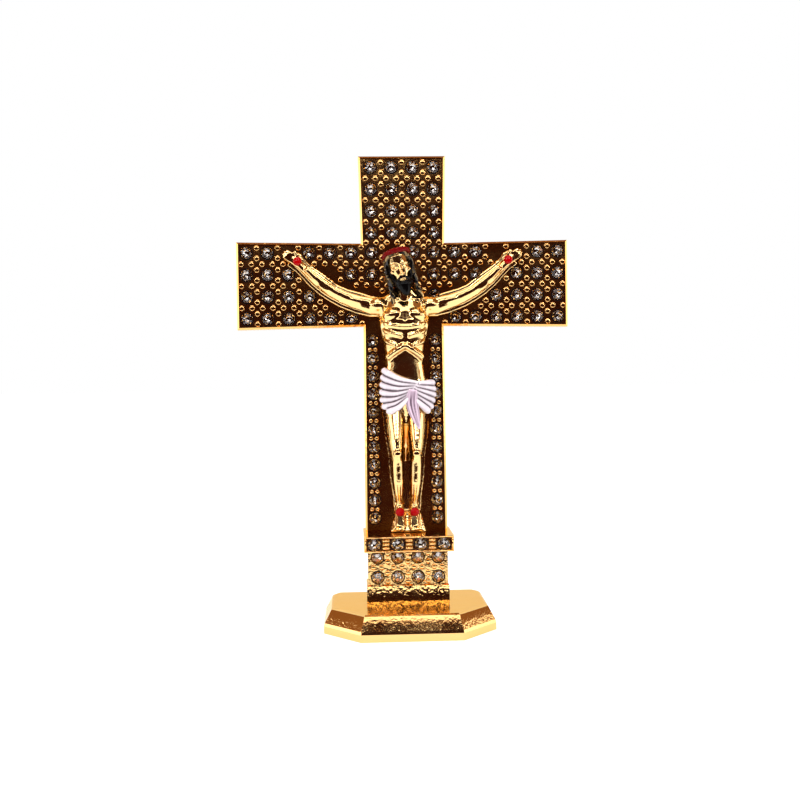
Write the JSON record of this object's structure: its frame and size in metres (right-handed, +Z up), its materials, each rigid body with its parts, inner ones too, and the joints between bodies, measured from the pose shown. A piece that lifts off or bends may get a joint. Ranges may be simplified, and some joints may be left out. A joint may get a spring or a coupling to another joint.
{
  "type": "table crucifix",
  "caption": "Free-standing gold-plated crucifix: stone-set Latin cross with a cast figure, on a studded plinth, foot shelf and octagonal base.",
  "frame": {"origin": "centre of the base's underside, on the surface it stands on", "axes": "+Z up along the shaft, +X along the arms to the viewer's right, the front with the figure faces -Y"},
  "size_m": [0.0784, 0.0296, 0.11],
  "materials": {
    "gold_plate": "polished gold plating on a zinc alloy casting",
    "figure_gold": "bright polished gold plating on a zinc alloy casting",
    "crystal": "cut crystal with a foil back",
    "white_enamel": "cold enamel, glossy white",
    "black_enamel": "cold enamel, glossy black",
    "red_enamel": "cold enamel, glossy red",
    "screw_steel": "plain zinc-plated steel"
  },
  "bodies": {
    "root": {"base": "gold_plate", "base_screw": "screw_steel", "screw_washer": "screw_steel", "locating_pins": "screw_steel", "plinth": "gold_plate", "foot_shelf": "gold_plate", "cross_body": "gold_plate", "corpus": "figure_gold", "loincloth": "white_enamel", "hair_and_beard": "black_enamel", "thorn_crown": "red_enamel", "hand_nails": "red_enamel", "foot_nails": "red_enamel", "top_arm_stones": "crystal", "left_arm_stones": "crystal", "right_arm_stones": "crystal", "left_rail_stones": "crystal", "right_rail_stones": "crystal", "shelf_stones": "crystal", "plinth_stones": "crystal"}
  },
  "joints": []
}
